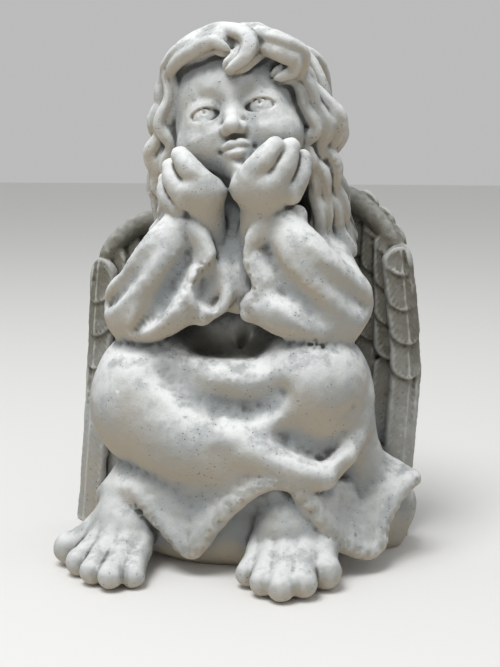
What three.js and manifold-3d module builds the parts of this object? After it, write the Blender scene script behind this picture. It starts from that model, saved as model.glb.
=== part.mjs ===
// A seated stone putto: a chubby winged child, chin in both hands and elbows on the knees, in a long robe.
// It is one casting, solid through, and stands on a flat underside.
// Millimetres, +Z up. The figure faces -Y, and +X is the viewer's right.
// The form is built up as clay is: balls, limbs and leaves are blended into a block, or pressed out of it.

import * as THREE from "three";
import { mergeVertices } from "three/addons/utils/BufferGeometryUtils.js";
import Module from "manifold-3d";

// Driving dimensions
const statueHeight = 314; // from the ground to the highest lock of hair
const triangleBudget = 9400; // faces left after the carving is thinned out
const finestCarving = 2.6; // spacing of the grid that the clay is held in

// The pose and carving below are drawn for a figure of this height and keep their share of the real one.
const drawnHeight = 314;
const share = statueHeight / drawnHeight;

const stoneColour = 0xb4b3ab;
const stoneRoughness = 0.92;

// The space that the figure is drawn in, with some clay below the ground that is cut off flat at the end.
const spaceLow = [-128, -124, -8];
const spaceHigh = [128, 84, 322];
const farAway = 60;

const clamp = (value, low, high) => Math.min(high, Math.max(low, value));
const point = (p) => new THREE.Vector3(...p).multiplyScalar(share);

// The smaller of two distances, rounded over where they are within the blend of each other.
function smoothLeast(a, b, blend) {
  if (blend <= 0) return Math.min(a, b);
  const h = clamp(0.5 + (0.5 * (b - a)) / blend, 0, 1);
  return b + (a - b) * h - blend * h * (1 - h);
}
const joined = (blend) => (clay, shape) => smoothLeast(clay, shape, blend * share);
const pressedOut = (blend) => (clay, shape) => -smoothLeast(-clay, shape, blend * share);

// A turn of the local axes about X, then Y, then Z, in degrees, and the place of their origin.
class Bench {
  constructor(origin, turnX = 0, turnY = 0, turnZ = 0) {
    const radians = [turnX, turnY, turnZ].map(THREE.MathUtils.degToRad);
    this.turn = new THREE.Quaternion().setFromEuler(new THREE.Euler(...radians, "ZYX"));
    this.origin = new THREE.Vector3(...origin);
  }
  at(x, y, z) {
    return new THREE.Vector3(x, y, z).applyQuaternion(this.turn).add(this.origin).toArray();
  }
  direction(x, y, z) {
    return new THREE.Vector3(x, y, z).applyQuaternion(this.turn).toArray();
  }
}

class Clay {
  constructor(low, high, spacing) {
    this.spacing = spacing * share;
    this.low = low.map((v) => v * share);
    this.count = low.map((v, i) => Math.ceil(((high[i] - v) * share) / this.spacing) + 1);
    this.field = new Float32Array(this.count[0] * this.count[1] * this.count[2]).fill(farAway * share);
  }

  // Mixes a shape's distance into every grid point of the box around it.
  work(box, distance, mix) {
    const range = [0, 1, 2].map((i) => {
      const first = Math.ceil((box.min.getComponent(i) - this.low[i]) / this.spacing);
      const last = Math.floor((box.max.getComponent(i) - this.low[i]) / this.spacing);
      return [Math.max(0, first), Math.min(this.count[i] - 1, last)];
    });
    for (let k = range[2][0]; k <= range[2][1]; k++)
      for (let j = range[1][0]; j <= range[1][1]; j++)
        for (let i = range[0][0]; i <= range[0][1]; i++) {
          const n = (k * this.count[1] + j) * this.count[0] + i;
          const x = this.low[0] + i * this.spacing;
          const y = this.low[1] + j * this.spacing;
          const z = this.low[2] + k * this.spacing;
          this.field[n] = mix(this.field[n], distance(x, y, z));
        }
  }

  reach(blend) {
    return (Math.max(blend, 6) + 4) * share;
  }

  // An ellipsoid. A bench turns its axes.
  ball(centre, radii, blend, { cut = false, bench = null } = {}) {
    const c = point(centre);
    const [rx, ry, rz] = (Array.isArray(radii) ? radii : [radii, radii, radii]).map((v) => v * share);
    const turn = new THREE.Matrix4();
    if (bench) turn.makeRotationFromQuaternion(bench.turn.clone().invert());
    const [m0, m1, m2, , m4, m5, m6, , m8, m9, m10] = turn.elements;
    const distance = (px, py, pz) => {
      const dx = px - c.x;
      const dy = py - c.y;
      const dz = pz - c.z;
      const x = (m0 * dx + m4 * dy + m8 * dz) / rx;
      const y = (m1 * dx + m5 * dy + m9 * dz) / ry;
      const z = (m2 * dx + m6 * dy + m10 * dz) / rz;
      const k0 = Math.sqrt(x * x + y * y + z * z);
      const k1 = Math.sqrt((x / rx) ** 2 + (y / ry) ** 2 + (z / rz) ** 2);
      return k1 < 1e-9 ? -Math.min(rx, ry, rz) : (k0 * (k0 - 1)) / k1;
    };
    const half = new THREE.Vector3(rx, ry, rz);
    if (bench) half.setScalar(Math.max(rx, ry, rz));
    half.addScalar(this.reach(blend));
    const box = new THREE.Box3(c.clone().sub(half), c.clone().add(half));
    this.work(box, distance, cut ? pressedOut(blend) : joined(blend));
  }

  // A round limb through points, thick or thin as its radii say
  limb(points, radii, blend, { cut = false, steps = 4 } = {}) {
    const widths = Array.isArray(radii) ? radii : points.map(() => radii);
    const curve = new THREE.CatmullRomCurve3(points.map(point), false, "catmullrom", 0.5);
    const places = curve.getPoints((points.length - 1) * steps);
    const width = (n) => {
      const along = n / steps;
      const from = Math.min(points.length - 2, Math.floor(along));
      return THREE.MathUtils.lerp(widths[from], widths[from + 1], along - from) * share;
    };
    const bones = places.slice(1).map((to, n) => {
      const run = to.clone().sub(places[n]);
      const perLength = 1 / Math.max(run.lengthSq(), 1e-9);
      return [...places[n].toArray(), ...run.toArray(), perLength, width(n), width(n + 1) - width(n)];
    });
    const distance = (x, y, z) => {
      let least = Infinity;
      for (const [ax, ay, az, rx, ry, rz, perLength, from, growth] of bones) {
        const qx = x - ax;
        const qy = y - ay;
        const qz = z - az;
        const t = clamp((qx * rx + qy * ry + qz * rz) * perLength, 0, 1);
        const dx = qx - t * rx;
        const dy = qy - t * ry;
        const dz = qz - t * rz;
        least = Math.min(least, Math.sqrt(dx * dx + dy * dy + dz * dz) - from - growth * t);
      }
      return least;
    };
    const box = new THREE.Box3().setFromPoints(places);
    box.expandByScalar(Math.max(...widths) * share + this.reach(blend));
    this.work(box, distance, cut ? pressedOut(blend) : joined(blend));
  }

  // A sheet of cloth between two edges with as many points each.
  cloth(edge, other, radius, rows, blend) {
    for (let n = 0; n <= rows * 2; n++) {
      const line = edge.map((p, i) => p.map((v, k) => v + ((other[i][k] - v) * n) / (rows * 2)));
      this.limb(line, radius, blend);
    }
  }

  // A feather: a thin plate with a round tip, arched across its width, lying on a surface that faces `out`.
  leaf(root, tip, width, thickness, out, blend) {
    const a = point(root);
    const along = point(tip).sub(a);
    const length = along.length();
    along.normalize();
    const across = new THREE.Vector3().crossVectors(along, new THREE.Vector3(...out)).normalize();
    const normal = new THREE.Vector3().crossVectors(across, along);
    const half = (width * share) / 2;
    const thick = (thickness * share) / 2;
    const distance = (x, y, z) => {
      const qx = x - a.x;
      const qy = y - a.y;
      const qz = z - a.z;
      const v = qx * along.x + qy * along.y + qz * along.z;
      const u = qx * across.x + qy * across.y + qz * across.z;
      const w = qx * normal.x + qy * normal.y + qz * normal.z + (u * u) / (half * 3);
      const beyond = v - clamp(v, 0, length - half);
      return Math.max(Math.hypot(beyond, u) - half, Math.abs(w) - thick);
    };
    const box = new THREE.Box3().setFromPoints([a, point(tip)]).expandByScalar(half + this.reach(blend));
    this.work(box, distance, joined(blend));
  }
}

// The clay's surface as triangles. Each cube of the grid is cut into the six tetrahedra round its long diagonal,
// which share their faces with the next cube's, so the skin is always closed.
function skinOf(clay) {
  const { field, count, low, spacing } = clay;
  const [nx, ny, nz] = count;
  for (let n = 0; n < field.length; n++) {
    const i = n % nx;
    const j = Math.floor(n / nx) % ny;
    const k = Math.floor(n / (nx * ny));
    const onEdge = i === 0 || j === 0 || k === 0 || i === nx - 1 || j === ny - 1 || k === nz - 1;
    const least = 0.05 * spacing;
    if (onEdge) field[n] = Math.max(field[n], spacing);
    else if (Math.abs(field[n]) < least) field[n] = field[n] < 0 ? -least : least;
  }
  const cornerOffset = [0, 1, 2, 3, 4, 5, 6,
    7].map((c) => (c & 1) + ((c >> 1) & 1) * nx + (c >> 2) * nx * ny);
  const paths = [[1, 2, 4], [2, 4, 1], [4, 1, 2], [2, 1, 4], [1, 4, 2], [4, 2, 1]];
  const positions = [];
  const triangles = [];
  const made = new Map();
  const placeOf = (n) => [n % nx, Math.floor(n / nx) % ny, Math.floor(n / (nx * ny))];
  const crossing = (nodeA, nodeB) => {
    const from = Math.min(nodeA, nodeB);
    const to = Math.max(nodeA, nodeB);
    const key = from * 8 + cornerOffset.indexOf(to - from);
    if (made.has(key)) return made.get(key);
    const t = field[from] / (field[from] - field[to]);
    const a = placeOf(from);
    const b = placeOf(to);
    for (let i = 0; i < 3; i++) positions.push(low[i] + (a[i] + (b[i] - a[i]) * t) * spacing);
    made.set(key, made.size);
    return made.size - 1;
  };
  for (let k = 0; k < nz - 1; k++)
    for (let j = 0; j < ny - 1; j++)
      for (let i = 0; i < nx - 1; i++) {
        const base = (k * ny + j) * nx + i;
        let inside = 0;
        for (let c = 0; c < 8; c++) if (field[base + cornerOffset[c]] < 0) inside++;
        if (inside === 0 || inside === 8) continue;
        paths.forEach((path, turn) => {
          const corners = [0, path[0], path[0] + path[1], 7].map((c) => base + cornerOffset[c]);
          const solid = corners.filter((n) => field[n] < 0);
          const open = corners.filter((n) => field[n] >= 0);
          if (!solid.length || !open.length) return;
          // The order of the corners says which way round the faces go.
          const parity = (turn < 3 ? 1 : -1) * permutationSign([...solid, ...open], corners);
          const facing = (a, b, c) => triangles.push(...(parity > 0 ? [a, b, c] : [a, c, b]));
          if (solid.length === 1) {
            const [a, b, c] = open.map((n) => crossing(solid[0], n));
            facing(a, b, c);
          } else if (solid.length === 3) {
            const [a, b, c] = solid.map((n) => crossing(n, open[0]));
            facing(a, b, c);
          } else {
            const a = crossing(solid[0], open[0]);
            const b = crossing(solid[0], open[1]);
            const c = crossing(solid[1], open[1]);
            const d = crossing(solid[1], open[0]);
            facing(a, b, c);
            facing(a, c, d);
          }
        });
      }
  return { positions: Float64Array.from(positions), triangles: Int32Array.from(triangles) };
}

function permutationSign(order, reference) {
  const places = order.map((n) => reference.indexOf(n));
  let sign = 1;
  for (let a = 0; a < places.length; a++)
    for (let b = a + 1; b < places.length; b++) if (places[a] > places[b]) sign = -sign;
  return sign;
}

// Thins a closed mesh out to a number of triangles by merging the two ends of an edge, over and over. Short edges
// go first, then the edge whose loss bends the surface least, so folds and fingers keep the most faces.
function thinned({ positions, triangles }, target, shortEdge) {
  const vertexCount = positions.length / 3;
  const terms = 10;
  const bending = new Float64Array(vertexCount * terms);
  const facesOf = Array.from({ length: vertexCount }, () => []);
  const changes = new Int32Array(vertexCount);
  const gone = -1;
  let faces = triangles.length / 3;

  const place = (v) => [positions[3 * v], positions[3 * v + 1], positions[3 * v + 2]];
  const cornersOf = (f) => [triangles[3 * f], triangles[3 * f + 1], triangles[3 * f + 2]];
  const normalOf = ([ax, ay, az], [bx, by, bz], [cx, cy, cz]) => {
    const [ux, uy, uz, vx, vy, vz] = [bx - ax, by - ay, bz - az, cx - ax, cy - ay, cz - az];
    return [uy * vz - uz * vy, uz * vx - ux * vz, ux * vy - uy * vx];
  };

  // Each vertex keeps the planes of the faces that met in it, as the ten terms of their squared distances.
  for (let f = 0; f < faces; f++) {
    const corners = cornersOf(f);
    const at = corners.map(place);
    const normal = normalOf(...at);
    const size = Math.hypot(...normal) || 1e-12;
    const [a, b, c] = normal.map((v) => v / size);
    const d = -(a * at[0][0] + b * at[0][1] + c * at[0][2]);
    const plane = [a * a, a * b, a * c, a * d, b * b, b * c, b * d, c * c, c * d, d * d];
    for (const v of corners) {
      facesOf[v].push(f);
      for (let t = 0; t < terms; t++) bending[terms * v + t] += plane[t] * size;
    }
  }

  const sum = new Float64Array(terms);
  const addUp = (u, v) => {
    for (let t = 0; t < terms; t++) sum[t] = bending[terms * u + t] + bending[terms * v + t];
  };
  const bendAt = (x, y, z) =>
    x * (sum[0] * x + 2 * (sum[1] * y + sum[2] * z + sum[3])) +
    y * (sum[4] * y + 2 * (sum[5] * z + sum[6])) +
    z * (sum[7] * z + 2 * sum[8]) +
    sum[9];
  const lengthOf = (u, v) => {
    const [ax, ay, az] = place(u);
    const [bx, by, bz] = place(v);
    return Math.hypot(ax - bx, ay - by, az - bz);
  };
  const evenness = 1e-4;
  function costOf(u, v) {
    addUp(u, v);
    const [ax, ay, az] = place(u);
    const [bx, by, bz] = place(v);
    const middle = bendAt((ax + bx) / 2, (ay + by) / 2, (az + bz) / 2);
    return Math.max(0, Math.min(middle, bendAt(ax, ay, az), bendAt(bx, by, bz))) + evenness * lengthOf(u,
      v) ** 2;
  }

  // Where the merged vertex bends the surface least: by the planes' own equations if they have one clear answer.
  function bestPlace(u, v) {
    addUp(u, v);
    const a = place(u);
    const b = place(v);
    const middle = a.map((value, i) => (value + b[i]) / 2);
    const choices = [middle, a, b];
    const planes = new THREE.Matrix3(sum[0], sum[1], sum[2], sum[1], sum[4], sum[5], sum[2], sum[5],
      sum[7]);
    if (Math.abs(planes.determinant()) > 1e-3) {
      const best = new THREE.Vector3(-sum[3], -sum[6], -sum[8]).applyMatrix3(planes.invert());
      if (best.distanceTo(new THREE.Vector3(...middle)) < 1.5 * lengthOf(u,
        v)) choices.push(best.toArray());
    }
    const bends = choices.map((p) => bendAt(...p));
    return choices[bends.indexOf(Math.min(...bends))];
  }

  const lastSeen = new Int32Array(vertexCount);
  let look = 0;
  function neighboursOf(v) {
    look++;
    const found = [];
    lastSeen[v] = look;
    for (const f of facesOf[v])
      for (const n of cornersOf(f))
        if (lastSeen[n] !== look) {
          lastSeen[n] = look;
          found.push(n);
        }
    return found;
  }

  // Whether a face would turn over or shrink to nothing when its corner moves.
  const spoils = (v, other, to) =>
    facesOf[v].some((f) => {
      const corners = cornersOf(f);
      if (corners.includes(other)) return false;
      const now = normalOf(...corners.map(place));
      const next = normalOf(...corners.map((c) => (c === v ? to : place(c))));
      const dot = now[0] * next[0] + now[1] * next[1] + now[2] * next[2];
      const size = Math.hypot(...next);
      return size < 1e-3 || dot < 0.25 * Math.hypot(...now) * size;
    });

  function merge(u, v, to) {
    neighboursOf(u);
    const mark = look;
    const around = new Set();
    for (const n of facesOf[v].flatMap(cornersOf)) if (n !== u && n !== v && lastSeen[n] === mark) around.add(n);
    if (around.size !== 2 || spoils(u, v, to) || spoils(v, u, to)) return false;
    addUp(u, v);
    bending.set(sum, terms * u);
    positions.set(to, 3 * u);
    for (const f of facesOf[v]) {
      const corners = cornersOf(f);
      if (corners.includes(u)) {
        for (const c of corners) if (c !== v) facesOf[c] = facesOf[c].filter((other) => other !== f);
        triangles.fill(gone, 3 * f, 3 * f + 3);
        faces--;
      } else {
        triangles[3 * f + corners.indexOf(v)] = u;
        facesOf[u].push(f);
      }
    }
    facesOf[v] = [];
    changes[v] = gone;
    changes[u]++;
    return true;
  }

  const edges = (visit) => {
    for (let n = 0; n < triangles.length; n++) {
      const u = triangles[n];
      const v = triangles[n % 3 === 2 ? n - 2 : n + 1];
      if (u !== gone && u < v) visit(u, v);
    }
  };
  edges((u, v) => {
    if (faces > target && lengthOf(u, v) < shortEdge) merge(u, v, bestPlace(u, v));
  });

  // A heap of edges, the cheapest on top. An edge that has changed since it went in is passed over.
  const heap = [];
  function push(entry) {
    let n = heap.push(entry) - 1;
    for (let up = (n - 1) >> 1; n > 0 && entry.cost < heap[up].cost; up = (n - 1) >> 1) {
      heap[n] = heap[up];
      n = up;
    }
    heap[n] = entry;
  }
  function pop() {
    const top = heap[0];
    const last = heap.pop();
    for (let n = 0; heap.length; ) {
      let child = 2 * n + 1;
      if (child + 1 < heap.length && heap[child + 1].cost < heap[child].cost) child++;
      if (child >= heap.length || heap[child].cost >= last.cost) {
        heap[n] = last;
        break;
      }
      heap[n] = heap[child];
      n = child;
    }
    return top;
  }
  const consider = (u, v) => push({ u, v, cost: costOf(u, v), made: changes[u] + changes[v] });
  edges(consider);
  while (faces > target && heap.length) {
    const { u, v, made } = pop();
    if (changes[u] === gone || changes[v] === gone || made !== changes[u] + changes[v]) continue;
    if (merge(u, v, bestPlace(u, v))) for (const n of neighboursOf(u)) consider(u, n);
  }
  return { positions, triangles: triangles.filter((v) => v !== gone) };
}

// Hips, chest, shoulders and neck under the robe.
function torso(clay) {
  clay.ball([0, 18, 60], [62, 42, 74], 0);
  clay.ball([1, 16, 140], [50, 33, 64], 16);
  for (const side of [-1, 1]) {
    clay.limb([[side * 16, 12, 194], [side * 40, 8, 186], [side * 50, 2, 170]], [15, 19, 18], 14);
  }
  clay.limb([[0, 8, 190], [0, -4, 224]], [24, 22], 8);
  // The robe's front bulges out between the arms and overhangs the belly, which has a crease down its middle.
  clay.ball([2, -14, 130], [42, 27, 24], 12);
  clay.limb([[0, -20, 206], [1, -34, 186], [3, -44, 166], [5, -48, 154]], [12, 13, 12, 8], 8);
  for (const x of [-7, 2, 11]) {
    clay.limb([[x * 0.3, -42, 204], [x * 0.9, -54, 182], [4 + x * 0.3, -61, 156]],
      [1.2, 2.8, 1.6], 3, { cut: true });
  }
  clay.limb([[6, -47, 148], [7, -44, 136], [5, -42, 126]], [1.5, 2.6, 1.5], 4, { cut: true });
}

// The knees stand wide apart and the shins cross, the left one in front.
function legs(clay) {
  clay.limb([[-30, 12, 64], [-44, -26, 94]], [38, 36], 14);
  clay.ball([-46, -34, 97], [33, 34, 39], 12);
  clay.limb([[30, 12, 64], [44, -22, 96]], [38, 34], 14);
  clay.ball([46, -36, 106], [33, 37, 35], 10);
  clay.limb([[48, -34, 92], [24, -46, 58], [-20, -50, 40], [-54, -52, 30]], [30, 26, 22, 16], 12);
  clay.limb([[-48, -40, 88], [-20, -52, 75], [6, -57, 67], [26, -60, 62]], [35, 31, 25, 17], 12);
  clay.ball([3, -34, 90], [42, 30, 28], 14);
}

// The skirt of the robe on the ground, its hem and its folds.
function robe(clay) {
  const skirt = [[-66, -8, 24], [-58, -34, 24], [-20, -46, 18], [30, -46, 20], [56, -34, 22]];
  clay.limb(skirt, [22, 20, 20, 20, 18], 14);
  clay.limb([[58, -22, 70], [72, -16, 40], [80, -6, 12]], [24, 20, 15], 12);
  clay.limb([[70, 16, 40], [80, 18, 6]], [22, 17], 12);
  clay.ball([0, 30, 16], [80, 34, 34], 16);
  // The cloth sags between the knees: a lip, a valley, and a second fold.
  const lip = [[-40, -44, 126], [-28, -52, 118], [-13, -57, 113], [4, -58, 111], [20, -57, 114],
    [35, -51, 122]];
  clay.limb(lip, [4, 7, 8, 8, 7, 4], 8);
  clay.limb([[-20, -38, 128], [4, -44, 122], [26, -40, 128]], [5, 7, 5], 6, { cut: true });
  clay.limb([[-26, -68, 103], [-8, -70, 93], [8, -70, 88], [24, -68, 90], [40, -60, 102]],
    [5, 8, 9, 8, 5], 10);
  const valley = [[-34, -68, 116], [-18, -75, 106], [0, -79, 100], [18, -79, 100], [32, -74, 106]];
  clay.limb(valley, [3, 8, 11, 10, 5], 8, { cut: true });
  // A long fold runs from the left knee under the right one, with a valley above it.
  const longFold = [[0, -74, 82], [20, -76, 72], [40, -75, 64], [58, -70, 59], [70, -60, 65],
    [77, -48, 80], [78, -40, 96]];
  clay.limb(longFold, [7, 8.5, 9, 9, 8, 6, 4], 8);
  clay.limb([[-2, -86, 96], [12, -85, 86], [28, -84, 77], [48, -82, 74], [66, -72, 80], [76, -56, 92]],
    [3, 7, 10, 11, 8, 4], 6, { cut: true });
  // The hem is a thick rim, high over both feet and low between them.
  const overLeftFoot = [[-79, -40, 30], [-77, -44, 36], [-66, -57, 43], [-58, -62, 44], [-50, -66, 41]];
  const between = [[-40, -70, 32], [-29, -74, 23], [-18, -77, 15], [-12, -78, 20], [-5, -78, 30]];
  const overRightFoot = [[7, -78, 43], [20, -79, 54], [30, -79, 59], [41, -77, 57], [50, -74, 45],
    [58, -71, 32]];
  const toCorner = [[68, -65, 20], [80, -57, 13], [86, -49, 15], [89, -40, 28], [97, -30, 42],
    [104, -20, 47]];
  const hem = [...overLeftFoot, ...between, ...overRightFoot, ...toCorner];
  const above = [[-68, -30, 44], [-66, -34, 52], [-58, -44, 62], [-52, -50, 64], [-46, -54, 62]];
  above.push([-38, -58, 58], [-30, -60, 54], [-20, -62, 50], [-12, -62, 52], [-4, -64, 58]);
  above.push([6, -66, 66], [18, -68, 70], [28, -68, 70], [38, -65, 66], [46, -60, 58], [54, -55, 52]);
  above.push([62, -48, 48], [67, -42, 46], [69, -36, 46], [71, -28, 50], [77, -18, 54], [83, -8, 56]);
  clay.cloth(hem, above, 4.4, 4, 4);
  clay.limb(hem, 5, 2);
  clay.limb([[-58, -78, 58], [-42, -85, 52], [-24, -90, 45], [-10, -92, 45]],
    [4, 8, 11, 6], 8, { cut: true });
  clay.limb([[72, -72, 64], [77, -66, 48], [78, -64, 34]], [5, 9, 5], 8, { cut: true });
  // Behind the loose corner on the right the robe reaches the ground.
  clay.limb([[84, -2, 42], [95, 0, 26], [91, -2, 8]], [12, 11, 9], 8);
  clay.limb([[93, -34, 12], [98, -22, 26], [103, -10, 36]], [4, 7, 5], 3, { cut: true });
}

// One bare foot: a wedge from the ankle to the ball, and toes that narrow grooves part.
function foot(clay, ankle, instep, ball, toes) {
  clay.limb([ankle, instep, ball], [14, 16, 14], 6);
  for (const [knuckle, tip, radius] of toes) {
    const start = ball.map((b, i) => b + (knuckle[i] - b) * 0.5);
    clay.limb([start, knuckle, tip], [radius * 1.3, radius * 1.1, radius], 4);
  }
  for (let n = 1; n < toes.length; n++) {
    const [heel, nail] = [0, 1].map((end) => toes[n][end].map((v, i) => (v + toes[n - 1][end][i]) / 2));
    const lift = (toes[n][2] + toes[n - 1][2]) / 2;
    const groove = [
      [heel[0], heel[1], heel[2] + lift * 1.5],
      [nail[0], nail[1], nail[2] + lift * 0.9],
      [nail[0], nail[1] - lift * 0.9, nail[2] + 1],
      [nail[0], nail[1] - lift * 0.9, nail[2] - lift],
    ];
    clay.limb(groove, [0.7, 2.0, 2.2, 1.6], 2.5, { cut: true });
  }
}

function feet(clay) {
  const leftToes = [
    [[-79, -66, 13], [-89, -68, 11], 9.5],
    [[-71, -77, 15], [-75, -88, 8], 7.2],
    [[-62, -84, 16], [-64, -102, 8], 7.4],
    [[-53, -88, 15], [-54, -110, 8], 7.4],
    [[-45, -88, 13], [-46, -105, 8], 7],
  ];
  const rightToes = [
    [[55, -72, 17], [58, -86, 11], 10.5],
    [[48, -80, 18], [52, -103, 8], 7.8],
    [[38, -82, 18], [41, -109, 8], 8],
    [[28, -80, 17], [30, -102, 8], 7.8],
    [[20, -78, 15], [18, -89, 8], 7.4],
  ];
  foot(clay, [-60, -42, 32], [-60, -62, 24], [-60, -80, 14], leftToes);
  foot(clay, [34, -54, 40], [37, -69, 30], [39, -84, 15], rightToes);
}

// Elbows on the knees, and wide sleeves that open in front of the chest.
function arms(clay) {
  // Left of the picture: upper arm, forearm under the cloth, and the lower roll of the sleeve.
  clay.limb([[-50, 2, 184], [-62, -16, 172], [-66, -36, 156]], [20, 20, 19], 8);
  clay.limb([[-64, -38, 150], [-50, -48, 161], [-39, -53, 177], [-30, -50, 197]], [19, 19, 16, 9], 8);
  clay.limb([[-62, -46, 141], [-44, -57, 144], [-30, -60, 150], [-22, -60, 156]], [12, 13, 12, 10], 6);
  // The open mouth of the sleeve: a mass as wide as its rim, hollowed from the front.
  const frontRim = [[-29, -47, 203], [-16, -52, 193], [-10, -55, 182], [-9, -59, 174], [-16, -62, 169],
    [-20, -64, 161]];
  frontRim.push([-19, -64, 153], [-13, -62, 147]);
  const backRim = [[-13, -62, 147], [-4, -59, 151], [0, -57, 159], [-2, -52, 169], [-6, -46, 182]];
  const leftWall = [[-30, -46, 196], [-28, -48, 188], [-26, -48, 180], [-25, -50, 174], [-28, -52, 168],
    [-30, -54, 161]];
  leftWall.push([-30, -54, 154], [-26, -54, 150]);
  clay.cloth(frontRim, leftWall, 4.5, 4, 4);
  clay.ball([-11, -48, 162], [13, 10, 18], 6);
  clay.limb(backRim, 4, 3);
  clay.limb([[-4, -60, 178], [-9, -64, 168], [-10, -65, 160], [-7, -63, 155]],
    [3, 6, 6.5, 4], 3, { cut: true });
  clay.limb([[-22, -69, 181], [-30, -72, 165], [-40, -73, 151], [-51, -66, 138]],
    [2, 5, 6, 4], 3.5, { cut: true });
  clay.limb([[-14, -46, 186], [-14, -50, 200], [-15, -52, 214]], [12, 12, 13], 3);
  // Right of the picture
  clay.limb([[47, 2, 184], [58, -14, 172], [62, -34, 156]], [20, 21, 20], 8);
  clay.limb([[62, -38, 152], [51, -48, 164], [41, -53, 180], [32, -50, 197]], [20, 20, 17, 10], 8);
  clay.limb([[62, -44, 143], [47, -56, 145], [31, -60, 149], [20, -58, 154]], [13, 13, 12, 9], 6);
  const rim = [[36, -44, 203], [20, -50, 199], [15, -53, 190], [13, -54, 183], [15, -57, 175],
    [19, -60, 167]];
  rim.push([19, -61, 159], [13, -59, 153], [12, -59, 149]);
  const rightWall = [[36, -44, 198], [34, -48, 193], [32, -50, 187], [31, -50, 180], [32, -52, 174],
    [34, -54, 168]];
  rightWall.push([34, -54, 160], [32, -54, 154], [30, -54, 149]);
  clay.cloth(rim, rightWall, 4.5, 4, 4);
  clay.limb([[22, -68, 184], [32, -74, 170], [48, -76, 155], [64, -70, 142], [76, -58, 135]],
    [2, 5, 7, 6, 4], 3.5, { cut: true });
  clay.limb([[48, -38, 202], [60, -34, 187], [71, -31, 180]], [2, 5, 3], 4, { cut: true });
  clay.limb([[15, -46, 186], [17, -50, 200], [20, -52, 214]], [12, 13, 14], 3);
}

// Plump hands under the jaw, their fingers bent against the cheeks.
function hands(clay) {
  clay.ball([-16, -54, 216], [15, 13, 11], 4);
  clay.limb([[-13, -58, 221], [-21, -58, 229], [-27, -55, 236]], [7, 6.5, 5.2], 2);
  clay.limb([[-23, -58, 214], [-31, -54, 222], [-34, -49, 230]], [7.5, 6.2, 5], 1.5);
  clay.limb([[-28, -53, 207], [-36, -49, 214], [-38, -44, 222]], [6.5, 5.8, 4.6], 1.5);
  clay.ball([19, -54, 219], [18, 14, 13], 4);
  clay.limb([[15, -59, 225], [21, -60, 233], [27, -57, 241]], [8.5, 7.2, 5.6], 2);
  clay.limb([[28, -58, 223], [33, -56, 232], [35, -52, 241]], [7.5, 6.4, 5.2], 1.5);
  clay.limb([[35, -53, 216], [40, -49, 226], [41, -45, 235]], [7, 6, 4.8], 1.5);
}

// The head looks up, and leans a little to the left of the picture.
const headBench = new Bench([0, -4, 252], -20, -10, 3);
const eyeX = 16;
const eyeRadius = 8.2;

function head(clay) {
  const at = (x, y, z) => headBench.at(x, y, z);
  const bench = headBench;
  clay.ball(at(0, -2, 6), [40, 40, 40], 4, { bench });
  clay.ball(at(0, -8, -12), [37, 33, 32], 12, { bench });
  clay.ball(at(0, -16, 16), [33, 26, 26], 12, { bench });
  clay.ball(at(0, -32, -35), 9.5, 9);
  for (const side of [-1, 1]) {
    const x = side * eyeX;
    clay.ball(at(side * 20, -26, -19), [15, 13, 13], 11, { bench });
    clay.ball(at(x, -46.2, -3.5), [14, 7, 9], 7, { bench, cut: true });
    clay.limb([at(side * 6, -41, 3), at(x, -42, 8.5), at(side * 27, -35, 4)], [1.5, 2.6, 1.5], 6);
    clay.ball(at(x, -32, -4.2), [11.2, 10.2, 9.8], 2.5, { bench });
    clay.ball(at(x, -41.7, -4.3), [9.4, 8.2, 5.8], 1, { bench, cut: true });
    clay.ball(at(x, -32.2, -4.5), eyeRadius, 0.5);
    clay.ball(at(side * 4.4, -43, -16.5), 3, 2);
  }
  clay.limb([at(0, -39, 2), at(0, -41, -6), at(0, -44, -12.5)], [3, 3, 3.6], 5);
  clay.ball(at(0, -46, -15.5), 4.3, 2.5);
  clay.limb([at(-8.5, -39, -27.2), at(0, -43.4, -25.2), at(8.5, -39, -27.2)], [1.2, 2.4, 1.2], 1.2);
  clay.limb([at(-7, -39, -29.2), at(0, -42.4, -31.4), at(7, -39, -29.2)], [1.3, 3, 1.3], 1.2);
  clay.limb([at(-8.5, -40.5, -27.9), at(0, -45.8, -28.3), at(8.5, -40.5, -27.9)],
    [0.8, 1.4, 0.8], 0.8, { cut: true });
}

// One lock of hair: thick in its middle, thin at both ends.
function lock(clay, points, radius, blend = 2) {
  const count = points.length;
  const bulge = (n) => Math.sin((Math.PI * (n + 0.7)) / (count + 0.4));
  const radii = points.map((_, n) => radius * (0.5 + 0.5 * bulge(n)));
  clay.limb(points, radii, blend);
}

// The hair's mass, with the face left free. The head is set into it afterwards.
function hairMass(clay) {
  const at = (x, y, z) => headBench.at(x, y, z);
  clay.ball(at(-1, 8, 11), [43, 44, 46], 4, { bench: headBench });
  clay.ball([0, 26, 226], [46, 26, 46], 12);
  clay.limb([[0, 26, 240], [0, 34, 190]], [36, 30], 10);
  clay.limb([[-42, -2, 262], [-44, 2, 236], [-42, 8, 208]], [12, 13, 12], 8);
  clay.limb([[40, -2, 262], [38, 2, 236], [46, 8, 206]], [12, 11, 12], 8);
  clay.ball(at(-1, -58, -12), [36, 34, 52], 4, { bench: headBench, cut: true });
}

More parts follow.
